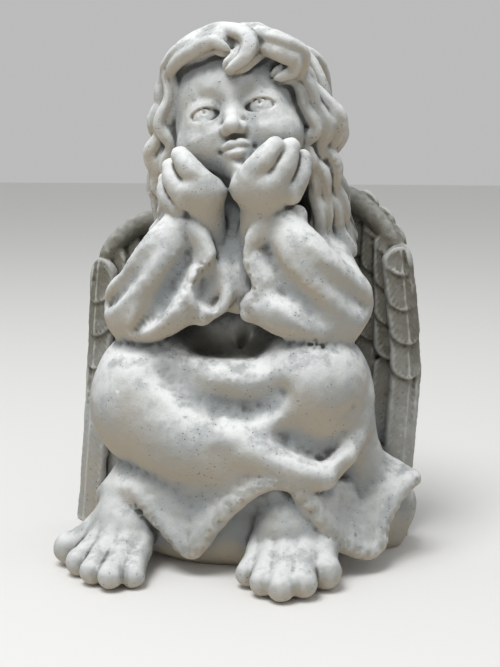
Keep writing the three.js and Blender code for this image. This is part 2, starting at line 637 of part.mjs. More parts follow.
// The fringe curls over the brow, and long wavy locks fall to the shoulders.
function hairLocks(clay) {
  const edge = [[-41, -14, 276], [-37, -20, 288], [-22, -26, 297], [0, -28, 300], [18, -26, 298],
    [32, -21, 287]];
  clay.limb([...edge, [38, -15, 270]], [7, 8, 9, 9, 9, 8, 7], 5);
  lock(clay, [[-40, -24, 285], [-32, -32, 291], [-21, -37, 296], [-11, -39, 299], [-5, -40, 296]], 8);
  const fringe = [[-42, -12, 276], [-38, -17, 286], [-26, -23, 297], [-11, -27, 303], [3, -33, 301],
    [9, -39, 296], [7, -43, 290]];
  lock(clay, [...fringe, [1, -44, 286]], 9.5);
  lock(clay, [[-20, 4, 298], [-4, -4, 303], [9, -16, 302], [13, -30, 299], [11, -38, 294]], 9.5);
  lock(clay, [[12, -24, 304], [18, -35, 300], [27, -38, 296], [35, -34, 291], [33, -32, 284],
    [27, -34, 281]], 8.5);
  // Right side, from the outline inwards
  lock(clay, [[2, -2, 302], [14, -8, 298], [25, -12, 289], [32, -14, 279], [37, -10, 269],
    [41, -4, 256]], 9.5);
  lock(clay, [[30, -16, 280], [37, -14, 271], [47, -12, 263], [50, -11, 254], [48, -11, 244],
    [42, -10, 235], [41, -6, 225]], 10);
  lock(clay, [[31, -27, 286], [37, -25, 275], [43, -22, 264], [44, -20, 252], [40, -20, 243],
    [39, -20, 233], [44, -16, 223]], 7.5);
  lock(clay, [[42, -13, 242], [49, -9, 231], [50, -6, 218], [52, -2, 206], [57, 2, 193], [60, 5, 181]], 9);
  lock(clay, [[38, -20, 236], [44, -17, 225], [48, -14, 213], [46, -15, 202], [49, -14, 190]], 7);
  lock(clay, [[50, 2, 264], [52, 4, 249], [43, 6, 233], [50, 9, 217], [57, 12, 201], [60, 14, 188]], 8.5);
  // Left side
  lock(clay, [[-25, -6, 295], [-34, -12, 286], [-40, -13, 275], [-45, -12, 264], [-47, -12, 255],
    [-44, -13, 246], [-39, -14, 240]], 9);
  lock(clay, [[-43, -16, 262], [-45, -15, 248], [-49, -12, 237], [-51, -11, 227], [-48, -11, 216],
    [-42, -12, 210]], 9);
  lock(clay, [[-38, -24, 282], [-40, -24, 268], [-42, -23, 254], [-40, -22, 242], [-42, -20, 229],
    [-41, -19, 217], [-44, -17, 203]], 6.5);
  lock(clay, [[-49, -4, 238], [-46, -12, 226], [-41, -16, 214], [-42, -16, 202], [-49, -12, 191]], 7.5);
  lock(clay, [[-44, 4, 264], [-51, 6, 250], [-49, 6, 236], [-53, 6, 222], [-50, 8, 208],
    [-54, 10, 194]], 9);
  // Waves down the back of the head
  for (let n = -3; n < 4; n++) {
    const x = n * 13;
    const sway = n % 2 ? 4 : -4;
    const crown = [[x * 0.3, 2, 301], [x * 0.8 + sway, 28, 291], [x, 43, 266]];
    lock(clay, [...crown, [x + sway, 47, 242], [x - sway, 49, 220], [x * 0.9 + sway, 50, 196]], 9.5);
  }
}

// Each wing folds down the back from its shoulder to the ground, and curves forward at its outer edge.
const wingSide = [
  {
    side: -1,
    top: [[-16, 54, 172], [-34, 52, 186], [-55, 44, 194], [-75, 34, 191], [-89, 27, 179], [-96, 24, 164]],
    edge: [[-99, 22, 144], [-98, 22, 110], [-99, 22, 80], [-103, 22, 40], [-107, 22, 4]],
  },
  {
    side: 1,
    top: [[16, 54, 182], [34, 50, 199], [54, 42, 209], [70, 34, 202], [83, 28, 189], [92, 26, 174]],
    edge: [[96, 24, 150], [98, 24, 120], [97, 24, 95], [94, 24, 60], [91, 24, 4]],
  },
];
const wingThickness = 14;
const featherThickness = 5;
const featherWidth = 19;
const featherLength = 36;
const featherLift = 3.4; // how far a feather's tip stands off the wing
const featherColumns = [3, 15, 27, 40, 53, 66]; // how far they lie inside the wing's outer edge
const featherApart = 21;
const lowestFeather = 100;

function wings(clay) {
  const strips = 7;
  for (const { side, top, edge } of wingSide) {
    const topCurve = new THREE.CatmullRomCurve3(top.map((p) => new THREE.Vector3(...p)));
    const edgeCurve = new THREE.CatmullRomCurve3(edge.map((p) => new THREE.Vector3(...p)));
    // A place on the wing: `across` runs from the spine to the outer edge, `down` from the shoulder to the ground.
    const onWing = (across, down) => {
      const from = topCurve.getPoint(across);
      const outer = edgeCurve.getPoint(Math.min(1, down));
      const x = side * 16 + (outer.x - side * 16) * across;
      const sink = Math.min(1, 3 * down);
      return [from.x + (x - from.x) * sink, 56 - 33 * across ** 1.7 - 4 * down, from.z * (1 - down)];
    };
    clay.limb(top, [10, 12, 13, 12, 10, 8], 5);
    for (let n = 0; n < strips; n++) {
      const across = n / (strips - 1);
      const strip = [0.02, 0.2, 0.45, 0.75, 1.04].map((down) => onWing(across, down));
      clay.limb(strip, wingThickness / 2 + 1 - across, 5);
    }
    // Short feathers like shingles above, long ones below. The back has the same rows, flatter.
    for (const facing of [-1, 1]) {
      const lift = featherLift * (facing < 0 ? 1 : 0.6);
      for (const [column, inset] of featherColumns.entries()) {
        const across = 1 - inset / 84;
        const height = onWing(across, 0)[2];
        const tips = [[-8, 112]];
        const lowest = lowestFeather + ((column % 2) * featherApart) / 2;
        for (let low = lowest; low < height - 12; low += featherApart) tips.push([low, featherLength]);
        for (const [tipZ, length] of tips) {
          const tip = onWing(across, 1 - tipZ / height);
          const root = onWing(across, Math.max(0.02, 1 - (tipZ + length) / height));
          tip[1] += facing * (wingThickness / 2 + lift);
          root[1] += facing * (wingThickness / 2 - 2.5);
          clay.leaf(root, tip, featherWidth, featherThickness, [side * 0.6 * across ** 3, facing, 0], 1);
        }
      }
    }
  }
// The wings' roots and the robe's back are one with the body.
  clay.limb([[0, 46, 180], [0, 50, 110], [0, 50, 6]], [20, 24, 24], 12);
  for (const side of [-1, 1]) clay.limb([[side * 28, 38, 168], [side * 34, 38, 100],
    [side * 40, 36, 6]], 20, 12);
}

async function carved() {
  const clay = new Clay(spaceLow, spaceHigh, finestCarving);
  torso(clay);
  legs(clay);
  robe(clay);
  wings(clay);
  hairMass(clay);
  head(clay);
  hairLocks(clay);
  arms(clay);
  hands(clay);
  feet(clay);
  const { positions, triangles } = thinned(skinOf(clay), triangleBudget, 0.7 * finestCarving * share);

  // The underside is cut flat at the ground.
  const wasm = await Module();
  wasm.setup();
  const solidOf = (geometry) => {
    geometry.deleteAttribute("normal");
    geometry.deleteAttribute("uv");
    const merged = mergeVertices(geometry);
    return new wasm.Manifold(
      new wasm.Mesh({
        numProp: 3,
        vertProperties: merged.attributes.position.array,
        triVerts: new Uint32Array(merged.index.array),
      }),
    );
  };
  const figure = new THREE.BufferGeometry();
  figure.setAttribute("position", new THREE.BufferAttribute(Float32Array.from(positions), 3));
  figure.setIndex([...triangles]);
  const ground = new THREE.BoxGeometry(2 * statueHeight, 2 * statueHeight, statueHeight);
  ground.translate(0, 0, -statueHeight / 2);
  const cut = solidOf(figure).subtract(solidOf(ground)).getMesh();
  const geometry = new THREE.BufferGeometry();
  geometry.setAttribute("position", new THREE.BufferAttribute(cut.vertProperties, cut.numProp));
  geometry.setIndex(new THREE.BufferAttribute(cut.triVerts, 1));
  geometry.computeVertexNormals();
  return geometry;
}

const stone = new THREE.MeshStandardMaterial({ color: stoneColour, roughness: stoneRoughness,
  metalness: 0 });
const putto = new THREE.Mesh(await carved(), stone);
putto.name = "putto";

const statue = new THREE.Group();
statue.add(putto);
export default statue;
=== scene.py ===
import math
import time

import bpy
import numpy as np
import openvdb
from mathutils import Euler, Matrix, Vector


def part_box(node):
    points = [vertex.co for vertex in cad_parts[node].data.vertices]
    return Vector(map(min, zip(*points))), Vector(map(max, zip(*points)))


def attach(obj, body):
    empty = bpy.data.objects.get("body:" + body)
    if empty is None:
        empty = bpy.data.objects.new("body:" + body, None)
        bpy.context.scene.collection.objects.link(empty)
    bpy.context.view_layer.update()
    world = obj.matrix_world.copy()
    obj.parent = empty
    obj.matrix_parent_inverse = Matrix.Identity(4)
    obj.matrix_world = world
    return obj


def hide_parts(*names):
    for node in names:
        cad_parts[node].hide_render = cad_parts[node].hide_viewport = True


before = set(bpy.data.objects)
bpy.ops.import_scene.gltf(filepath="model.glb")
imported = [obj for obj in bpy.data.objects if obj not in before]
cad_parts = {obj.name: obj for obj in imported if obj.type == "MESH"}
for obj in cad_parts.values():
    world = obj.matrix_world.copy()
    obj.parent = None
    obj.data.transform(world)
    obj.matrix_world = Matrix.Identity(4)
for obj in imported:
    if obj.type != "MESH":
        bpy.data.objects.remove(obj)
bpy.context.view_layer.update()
started = time.time()


def report(stage):
    print(f"putto: {stage}, {time.time() - started:.0f} s", flush=True)


# The drawn figure is scaled to the solid's height.
puttoLow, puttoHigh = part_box("putto")
drawnHeight = 312.8
metresPerUnit = (puttoHigh[2] - puttoLow[2]) / drawnHeight

# The camera's place and aim are in drawing units. Its focal length and picture height are in pixels.
photo = {
    "location": (131.6, -729.5, 245.3),
    "target": (3, 0, 128),
    "pixelFocus": 1227,
    "pixelHeight": 667,
    "sensor": 36,
}


def placeCamera(facts):
    data = bpy.data.cameras.new("photoCamera")
    data.sensor_width = facts["sensor"]
    data.lens = facts["pixelFocus"] / facts["pixelHeight"] * facts["sensor"]
    camera = bpy.data.objects.new("photoCamera", data)
    camera.location = Vector(facts["location"]) * metresPerUnit
    toTarget = Vector(facts["target"]) * metresPerUnit - camera.location
    camera.rotation_euler = toTarget.to_track_quat("-Z", "Y").to_euler()
    bpy.context.scene.collection.objects.link(camera)
    bpy.context.scene.camera = camera


placeCamera(photo)

figure = {
    # the block of clay, the distance between its grid points, and the value where no stone is near
    "spaceLow": (-128, -124, -4),
    "spaceHigh": (122, 84, 320),
    "spacing": 0.8,
    "farAway": 60.0,
    "triangles": 194000,
    # points below this height are set on the ground
    "grounded": 0.35,
    # how far each measure of hollows and ridges looks
    "hollows": {"fine": 3.0, "broad": 9.0, "deep": 26.0},
    # the robe and feet are darker from the first height down to the second
    "darkerBelow": (75, 20),
}


# The lesser of two distances, with a fillet as wide as the blend where they meet.
def smoothLeast(a, b, blend):
    if blend <= 0:
        return np.minimum(a, b)
    h = np.clip(0.5 + (0.5 / blend) * (b - a), 0, 1)
    return b + (a - b) * h - blend * h * (1 - h)


# A curve through the points that runs smoothly on past each of them.
def spline(points, steps):
    p = np.array(points, float)
    p = np.vstack([2 * p[:1] - p[1:2], p, 2 * p[-1:] - p[-2:-1]])
    places = []
    for n in range(1, len(p) - 2):
        for t in np.arange(steps) / steps:
            a, b, c, d = p[n - 1 : n + 3]
            bend = (2 * a - 5 * b + 4 * c - d) * t**2 + (3 * b - a - 3 * c + d) * t**3
            places.append(b + 0.5 * ((c - a) * t + bend))
    places.append(p[-2])
    return np.array(places)


# A turn of the local axes about X, then Y, then Z, in degrees, and the place of their origin.
class Bench:
    def __init__(self, origin, turnX=0, turnY=0, turnZ=0):
        self.turn = np.array(Euler([math.radians(v) for v in (turnX, turnY, turnZ)], "XYZ").to_matrix())
        self.origin = np.array(origin, float)

    def at(self, x, y, z):
        return self.turn @ np.array([x, y, z], float) + self.origin


# A grid of distances to the stone's surface, below zero inside it. Each form is joined on or pressed out.
class Clay:
    def __init__(self, axes, spacing, farAway):
        self.axes, self.spacing, self.farAway = axes, spacing, farAway
        self.low = np.array([axis[0] for axis in axes], float)
        self.field = np.full([len(axis) for axis in axes], farAway, np.float32)

    # The slices of the grid between two corners
    def block(self, low, high):
        slices = []
        for axis, start, l, h in zip(self.axes, self.low, low, high):
            first = max(0, math.ceil((l - start) / self.spacing))
            last = min(len(axis), math.floor((h - start) / self.spacing) + 1)
            slices.append(slice(first, max(first, last)))
        return tuple(slices)

    def grid(self, block):
        x, y, z = [axis[s] for axis, s in zip(self.axes, block)]
        return [x.reshape(-1, 1, 1), y.reshape(1, -1, 1), z.reshape(1, 1, -1)]

    def mix(self, block, shape, blend, cut):
        clay = self.field[block]
        if cut:
            self.field[block] = -smoothLeast(-clay, shape, blend)
        else:
            self.field[block] = smoothLeast(clay, shape, blend)

    def reach(self, blend):
        return max(blend, 4) + 3 * self.spacing

    def ball(self, centre, radii, blend, cut=False, bench=None):
        radii = np.broadcast_to(np.array(radii, float), 3)
        half = radii if bench is None else np.full(3, radii.max())
        block = self.block(centre - half - self.reach(blend), centre + half + self.reach(blend))
        dx, dy, dz = [axis - np.float32(c) for axis, c in zip(self.grid(block), centre)]
        turn = np.eye(3) if bench is None else bench.turn
        x, y, z = [(turn[0, n] * dx + turn[1, n] * dy + turn[2, n] * dz) / radii[n] for n in range(3)]
        k0 = np.sqrt(x * x + y * y + z * z)
        k1 = np.sqrt((x / radii[0]) ** 2 + (y / radii[1]) ** 2 + (z / radii[2]) ** 2)
        self.mix(block, (k0 * (k0 - 1) / np.maximum(k1, 1e-6)).astype(np.float32), blend, cut)

    # A limb through points. Strands are grooves that run along it.
    def limb(self, points, radii, blend, cut=False, steps=6, strands=0, depth=0.5, twist=0.0):
        places = spline(points, steps)
        if np.isscalar(radii):
            radii = [radii] * len(points)
        widths = np.maximum(0.4, spline([[r] for r in radii], steps)[:, 0])
        reach = self.reach(blend)
        most = widths.max() + reach
        block = self.block(places.min(0) - most, places.max(0) + most)
        shape = [s.stop - s.start for s in block]
        near = np.full(shape, self.farAway, np.float32)
        turned = np.zeros(shape, np.float32) if strands else None
        side = None
        for n in range(len(places) - 1):
            a, b = places[n], places[n + 1]
            run = b - a
            size = max(widths[n], widths[n + 1]) + reach
            part = self.block(np.minimum(a, b) - size, np.maximum(a, b) + size)
            inner = tuple(slice(s.start - o.start, s.stop - o.start) for s, o in zip(part, block))
            q = [axis - np.float32(v) for axis, v in zip(self.grid(part), a)]
            t = np.clip((q[0] * run[0] + q[1] * run[1] + q[2] * run[2]) / max(run @ run, 1e-9), 0, 1)
            d = [q[k] - t * run[k] for k in range(3)]
            width = widths[n] + (widths[n + 1] - widths[n]) * t
            distance = (np.sqrt(d[0] ** 2 + d[1] ** 2 + d[2] ** 2) - width).astype(np.float32)
            closer = distance < near[inner]
            if strands:
                along = run / max(np.linalg.norm(run), 1e-9)
                side = np.array([0.31, 0.17, 0.93]) if side is None else side
                side = side - along * (side @ along)
                side /= np.linalg.norm(side)
                other = np.cross(along, side)
                up = d[0] * other[0] + d[1] * other[1] + d[2] * other[2]
                angle = np.arctan2(up, d[0] * side[0] + d[1] * side[1] + d[2] * side[2])
                angle = angle + twist * (n + t) / steps
                turned[inner] = np.where(closer, angle, turned[inner])
            near[inner] = np.where(closer, distance, near[inner])
        if strands:
            near += depth * (0.5 + 0.5 * np.cos(strands * turned)) ** 2
        self.mix(block, near, blend, cut)

    # A sheet of cloth between two edges with as many points each.
    def cloth(self, edge, other, radius, rows, blend):
        edge, other = np.array(edge, float), np.array(other, float)
        lines = [edge + (other - edge) * n / rows for n in range(rows + 1)]
        low, high = np.min(lines, axis=(0, 1)), np.max(lines, axis=(0, 1))
        most = radius + self.reach(blend) + 4
        block = self.block(low - most, high + most)
        sheet = Clay([axis[s] for axis, s in zip(self.axes, block)], self.spacing, self.farAway)
        for n in range(rows * 2 + 1):
            sheet.limb(edge + (other - edge) * n / (rows * 2), radius, 3, steps=4)
        self.mix(block, sheet.field, blend, False)

    # A feather on a surface that faces `out`: a plate with a round tip, a shaft, and slanting barbs.
    def feather(self, root, tip, width, thickness, out, blend, relief):
        root, tip = np.array(root, float), np.array(tip, float)
        along = tip - root
        length = np.linalg.norm(along)
        along /= length
        across = np.cross(along, out)
        across /= np.linalg.norm(across)
        normal = np.cross(across, along)
        half = width / 2
        low, high = np.minimum(root, tip) - half, np.maximum(root, tip) + half
        block = self.block(low - self.reach(blend), high + self.reach(blend))
        q = [axis - np.float32(v) for axis, v in zip(self.grid(block), root)]
        v, u, w = [q[0] * d[0] + q[1] * d[1] + q[2] * d[2] for d in (along, across, normal)]
        w = w + u * u / (half * 3)
        beyond = v - np.clip(v, 0, length - half)
        shaft = relief * 1.6 * np.exp(-((u / 1.0) ** 2))
        barbs = relief * (0.5 + 0.5 * np.cos(2 * math.pi * (v - 1.3 * np.abs(u)) / 4.4)) ** 3
        ribs = shaft - barbs * np.clip(np.abs(u) - 0.8, 0, 1)
        surface = np.abs(w) - thickness / 2 - np.where(w > 0, ribs, 0)
        edge = np.hypot(beyond, u) - half
        self.mix(block, smoothLeast(-edge, -surface, 1.2).astype(np.float32) * -1, blend, False)


# Hips, chest, shoulders and neck under the robe.
def torso(clay):
    clay.ball([0, 18, 60], [62, 42, 74], 0)
    clay.ball([1, 16, 140], [50, 33, 64], 16)
    for side in (-1, 1):
        clay.limb([[side * 14, 12, 192], [side * 30, 10, 184], [side * 38, 4, 168]], [15, 17, 17], 12)
    clay.limb([[0, 8, 190], [0, -4, 224]], [24, 22], 8)
    # The robe's front bulges out between the arms, and has soft creases down to the belly.
    clay.ball([2, -17, 130], [42, 27, 25], 12)
    clay.limb([[0, -20, 206], [1, -34, 186], [3, -44, 166], [5, -48, 154]], [12, 13, 12, 8], 8)
    for x in (-7, 2, 11):
        crease = [[x * 0.3, -42, 204], [x * 0.9, -54, 182], [4 + x * 0.3, -61, 156]]
        clay.limb(crease, [1.2, 2.8, 1.6], 3, cut=True)
    clay.limb([[6, -47, 148], [7, -44, 136], [5, -42, 126]], [1.5, 2.6, 1.5], 4, cut=True)


# The knees stand wide apart and the shins cross, the left one in front.
def legs(clay):
    clay.limb([[-30, 12, 64], [-44, -26, 94]], [38, 36], 14)
    clay.ball([-48, -34, 98], [35, 34, 39], 12)
    clay.limb([[30, 12, 64], [44, -22, 96]], [38, 34], 14)
    clay.ball([46, -39, 107], [33, 38, 34], 9)
    clay.limb([[48, -34, 92], [24, -46, 58], [-20, -50, 40], [-54, -52, 30]], [30, 26, 22, 16], 12)
    clay.limb([[-48, -40, 88], [-20, -52, 75], [6, -57, 67], [26, -60, 62]], [35, 31, 25, 17], 12)
    clay.ball([3, -34, 90], [42, 30, 28], 14)


# The skirt of the robe on the ground, its hem and its folds.
def robe(clay):
    skirt = [[-66, -8, 24], [-58, -34, 24], [-20, -46, 18], [30, -46, 20], [56, -34, 22]]
    clay.limb(skirt, [22, 20, 20, 20, 18], 14)
    clay.limb([[58, -22, 70], [72, -16, 40], [80, -6, 12]], [24, 20, 15], 12)
    clay.limb([[70, 16, 40], [80, 18, 6]], [22, 17], 12)
    clay.ball([0, 30, 16], [80, 34, 34], 16)
    # The cloth sags between the knees: a lip, a valley, and a second fold.
    lip = [[-40, -44, 126], [-28, -52, 118], [-13, -57, 113], [4, -58, 111], [20, -57, 114], [35, -51, 122]]
    clay.limb(lip, [4, 7, 8, 8, 7, 4], 8)
    clay.ball([2, -44, 105], [40, 32, 15], 10)
    secondFold = [[-26, -68, 103], [-8, -70, 93], [8, -70, 88], [24, -68, 90], [40, -60, 102]]
    clay.limb(secondFold, [5, 8, 9, 8, 5], 10)
    valley = [[-34, -68, 116], [-18, -75, 106], [0, -79, 100], [18, -79, 100], [32, -74, 106]]
    clay.limb(valley, [3, 8, 11, 9, 3], 12, cut=True)
    # A long fold runs from the left knee under the right one, with a valley above it.
    longFold = [[0, -74, 82], [20, -76, 72], [40, -75, 64], [57, -70, 60], [68, -60, 68]]
    longFold += [[75, -48, 82], [77, -40, 98]]
    under = [[2, -88, 97], [15, -88, 88], [31, -90, 81], [48, -89, 78], [64, -80, 83], [75, -62, 96]]
    clay.limb(under, [3, 8, 13, 14, 10, 5], 4, cut=True)
    clay.limb(longFold, [7, 8.5, 8.5, 8, 6, 4, 3], 9)
    # The hem is a thick rim, high over both feet and low between them.
    overLeftFoot = [[-79, -40, 30], [-77, -44, 36], [-66, -57, 43], [-58, -62, 44], [-50, -66, 41]]
    between = [[-40, -70, 32], [-29, -74, 23], [-18, -77, 15], [-12, -78, 20], [-5, -78, 30]]
    overRightFoot = [[7, -78, 43], [20, -79, 54], [30, -79, 59], [41, -77, 57], [50, -74, 45], [58, -71, 32]]
    toCorner = [[68, -65, 20], [80, -57, 13], [86, -49, 15], [89, -40, 28], [97, -30, 42], [104, -20, 47]]
    hem = overLeftFoot + between + overRightFoot + toCorner
    above = [[-68, -30, 44], [-66, -34, 52], [-58, -44, 62], [-52, -50, 64], [-46, -54, 62]]
    above += [[-38, -58, 58], [-30, -60, 54], [-20, -62, 50], [-12, -62, 52], [-4, -64, 58]]
    above += [[6, -66, 66], [18, -68, 70], [28, -68, 70], [38, -65, 66], [46, -60, 58], [54, -55, 52]]
    above += [[62, -48, 48], [67, -42, 46], [69, -36, 46], [71, -28, 50], [77, -18, 54], [83, -8, 56]]
    clay.cloth(hem, above, 4.4, 4, 4)
    clay.limb(hem, 5, 2)
    clay.limb([[-58, -78, 58], [-42, -85, 52], [-24, -90, 45], [-10, -92, 45]], [4, 8, 11, 6], 8, cut=True)
    clay.limb([[72, -72, 64], [77, -66, 48], [78, -64, 34]], [5, 9, 5], 8, cut=True)
    # Behind the loose corner on the right the robe reaches the ground.
    clay.limb([[84, -2, 42], [95, 0, 26], [91, -2, 8]], [12, 11, 9], 8)
    clay.limb([[93, -34, 12], [98, -22, 26], [103, -10, 36]], [4, 7, 5], 3, cut=True)


# One bare foot: a fan of long toes from the instep, each with a round tip.
def foot(clay, ankle, instep, toes):
    clay.limb([ankle, instep], [17, 17], 6)
    for knuckle, tip, radius in toes:
        start = [a + (k - a) * 0.35 for a, k in zip(instep, knuckle)]
        bend = [k + (t - k) * 0.6 for k, t in zip(knuckle, tip)]
        clay.limb([start, knuckle, bend, tip], [14, radius * 1.2, radius * 0.92, radius * 0.96], 2.6)


def feet(clay):
    leftToes = [
        ([-76, -62, 17], [-91, -72, 10], 9.5),
        ([-70, -70, 18], [-80, -88, 8], 8.2),
        ([-63, -76, 18], [-68, -101, 8], 7.8),
        ([-55, -78, 17], [-56, -108, 8], 7.4),
        ([-48, -76, 15], [-45, -102, 7], 6.8),
    ]
    rightToes = [
        ([53, -68, 21], [60, -86, 10], 9.8),
        ([46, -74, 21], [50, -102, 9], 8.2),
        ([38, -77, 20], [39, -108, 8], 7.8),
        ([30, -75, 19], [28, -102, 8], 7.6),
        ([23, -70, 18], [18, -90, 8], 7.4),
    ]
    foot(clay, [-60, -42, 34], [-61, -56, 28], leftToes)
    foot(clay, [34, -54, 42], [37, -62, 34], rightToes)


# Elbows on the knees, and wide sleeves that open in front of the chest.
def arms(clay):
    # Left of the picture: the upper arm, the forearm under its cloth, and the lower roll of the sleeve
    clay.limb([[-36, 2, 178], [-44, -14, 166], [-58, -34, 150]], [18, 18, 18], 8)
    clay.limb([[-59, -38, 149], [-49, -48, 160], [-39, -53, 177], [-30, -50, 197]], [18, 18, 16, 9], 8)
    clay.limb([[-60, -46, 141], [-44, -57, 144], [-30, -60, 150], [-22, -60, 156]], [12, 13, 12, 10], 6)
    # The sleeve opens to the front, between a rim and the forearm's wall.
    frontRim = [[-30, -48, 204], [-18, -55, 195], [-11, -58, 184], [-10, -61, 175], [-16, -63, 169]]
    frontRim += [[-20, -64, 161], [-19, -64, 153], [-13, -62, 147]]
    backRim = [[-13, -62, 147], [-4, -59, 151], [0, -57, 159], [-2, -52, 169], [-6, -46, 182]]
    leftWall = [[-30, -46, 196], [-28, -48, 188], [-26, -48, 180], [-25, -50, 174], [-28, -52, 168]]
    leftWall += [[-30, -54, 161], [-30, -54, 154], [-26, -54, 150]]
    clay.cloth(frontRim, leftWall, 4.5, 4, 4)
    clay.ball([-11, -48, 162], [13, 10, 18], 6)
    clay.limb(backRim, 4, 3)
    clay.limb([[-4, -60, 178], [-9, -64, 168], [-10, -65, 160], [-7, -63, 155]], [3, 6, 6.5, 4], 3, cut=True)
    clay.limb([[-22, -63, 182], [-30, -67, 166], [-40, -70, 152], [-52, -65, 139]], [2, 6, 7, 3], 5, cut=True)
    clay.limb([[-40, -69, 188], [-52, -68, 174], [-65, -57, 160], [-75, -42, 150]], [2, 6, 6, 3], 7, cut=True)
    clay.limb([[-14, -40, 184], [-14, -45, 198], [-15, -51, 213]], [11, 11, 12], 3)
    # Right of the picture
    clay.limb([[38, 2, 181], [49, -12, 169], [60, -32, 155]], [18, 19, 19], 8)
    clay.limb([[60, -38, 152], [51, -48, 164], [41, -53, 180], [32, -50, 197]], [19, 20, 17, 10], 8)
    clay.limb([[62, -44, 143], [47, -56, 145], [31, -60, 149], [20, -58, 154]], [13, 13, 12, 9], 6)
    rim = [[38, -46, 204], [24, -54, 201], [16, -57, 193], [13, -57, 184], [15, -59, 175], [19, -61, 167]]
    rim += [[19, -61, 159], [13, -59, 153], [12, -59, 149]]
    rightWall = [[36, -44, 198], [34, -48, 193], [32, -50, 187], [31, -50, 180], [32, -52, 174]]
    rightWall += [[34, -54, 168], [34, -54, 160], [32, -54, 154], [30, -54, 149]]
    clay.cloth(rim, rightWall, 4.5, 4, 4)
    groove = [[22, -62, 185], [32, -69, 171], [46, -72, 157], [62, -68, 144], [76, -57, 136]]
    clay.limb(groove, [2, 5, 7, 6, 3], 5, cut=True)
    clay.limb([[40, -73, 190], [54, -73, 176], [69, -61, 163], [79, -44, 152]], [2, 6, 6, 3], 7, cut=True)
    clay.limb([[44, -38, 202], [54, -36, 188], [66, -33, 178]], [3, 6, 4], 3, cut=True)
    clay.limb([[15, -40, 184], [17, -45, 198], [20, -51, 213]], [12, 12, 13], 3)


# Plump hands under the jaw, their fingers bent against the cheeks.
def hands(clay):
    clay.ball([-16, -54, 216], [15, 13, 11], 4)
    clay.limb([[-13, -58, 221], [-21, -58, 229], [-27, -55, 236]], [7, 6.5, 5.2], 2)
    clay.limb([[-23, -58, 214], [-31, -54, 222], [-34, -49, 230]], [7.5, 6.2, 5], 1.5)
    clay.limb([[-28, -53, 207], [-36, -49, 214], [-38, -44, 222]], [6.5, 5.8, 4.6], 1.5)
    clay.ball([19, -54, 219], [18, 14, 13], 4)
    clay.limb([[15, -59, 225], [21, -60, 233], [27, -57, 241]], [8.5, 7.2, 5.6], 2)
    clay.limb([[28, -58, 223], [33, -56, 232], [35, -52, 241]], [7.5, 6.4, 5.2], 1.5)
    clay.limb([[35, -53, 216], [40, -49, 226], [41, -45, 235]], [7, 6, 4.8], 1.5)


# The head looks up, and leans a little to the left of the picture.
headBench = Bench([0, -4, 252], -20, -10, 3)
face = {"eyeX": 16, "eyeZ": -4.5, "eyeRadius": 11, "eyeDepth": -29.8}


def head(clay):
    at, bench = headBench.at, headBench
    clay.ball(at(0, -2, 6), [40, 40, 40], 4, bench=bench)
    clay.ball(at(0, -8, -12), [37, 33, 32], 12, bench=bench)
    clay.ball(at(0, -16, 16), [33, 26, 26], 12, bench=bench)
    clay.ball(at(0, -32, -35), 9.5, 9)
    for side in (-1, 1):
        clay.ball(at(side * 20, -26, -19), [15, 13, 13], 11, bench=bench)
    for side in (-1, 1):
        eye(clay, side)
    nose(clay)
    mouth(clay)


# An eye that looks up, between two lids.
def eye(clay, side):
    at = headBench.at
    x, y, z, radius = side * face["eyeX"], face["eyeDepth"], face["eyeZ"], face["eyeRadius"]
    clay.ball(at(x, y - 16.5, z + 1), [14, 7, 9], 7, bench=headBench, cut=True)
    clay.ball(at(x, y - 2.3, z + 0.5), [10.8, 9.6, 9], 6, bench=headBench)
    clay.ball(at(x, y - 11.5, z), [8.8, 8, 4.1], 1.2, bench=headBench, cut=True)
    clay.ball(at(x, y, z), radius, 0.2)

    # A place on the eyeball, by its angles from straight ahead.
    def onEye(across, up, out=0.0):
        a, b = math.radians(across) * side, math.radians(up)
        r = radius + out
        return at(x + r * math.sin(a) * math.cos(b), y - r * math.cos(a) * math.cos(b), z + r * math.sin(b))

    ring = [onEye(18 * math.sin(t), 8 + 18 * math.cos(t)) for t in np.linspace(0, 2 * math.pi, 9)]
    clay.limb(ring, 0.6, 0.6, cut=True)
    clay.ball(onEye(0, 8, 0.6), 1.9, 0.8, cut=True)


def nose(clay):
    at = headBench.at
    clay.limb([at(0, -39, 2), at(0, -41, -6), at(0, -44, -12.5)], [3, 3, 3.6], 5)
    clay.ball(at(0, -46, -15.5), 4.3, 2.5)
    for side in (-1, 1):
        clay.ball(at(side * 4.4, -43, -16.5), 3, 2)
        clay.ball(at(side * 2.3, -45.8, -19.4), 1.0, 0.8, cut=True)
    clay.limb([at(0, -43, -20.5), at(0, -43.4, -23.5)], 0.9, 1.5, cut=True)


def mouth(clay):
    at = headBench.at
    bow = [at(x, y, z) for x, y, z in ((-8, -38.5, -27), (-3.4, -41.4, -25), (0, -41.8, -25.5))]
    bow += [at(3.4, -41.4, -25), at(8, -38.5, -27)]
    clay.limb(bow, [0.9, 2.1, 1.9, 2.1, 0.9], 1.8)
    clay.limb([at(-6.5, -38.6, -29), at(0, -41, -30.8), at(6.5, -38.6, -29)], [1.1, 2.6, 1.1], 1.8)
    clay.limb([at(-8, -40, -27.7), at(0, -44.2, -28.1), at(8, -40, -27.7)], [0.5, 1.1, 0.5], 0.8, cut=True)
    clay.limb([at(-4, -42.3, -35), at(4, -42.3, -35)], 1.6, 3, cut=True)
    for side in (-1, 1):
        clay.ball(at(side * 10.3, -39.3, -27.6), 1.6, 2, cut=True)


# How locks join each other, and how many strands they have, how deep, and how much they turn.
hair = {"blend": 2.5, "strands": 3, "strandDepth": 0.28, "twist": 0.3, "wave": 2}


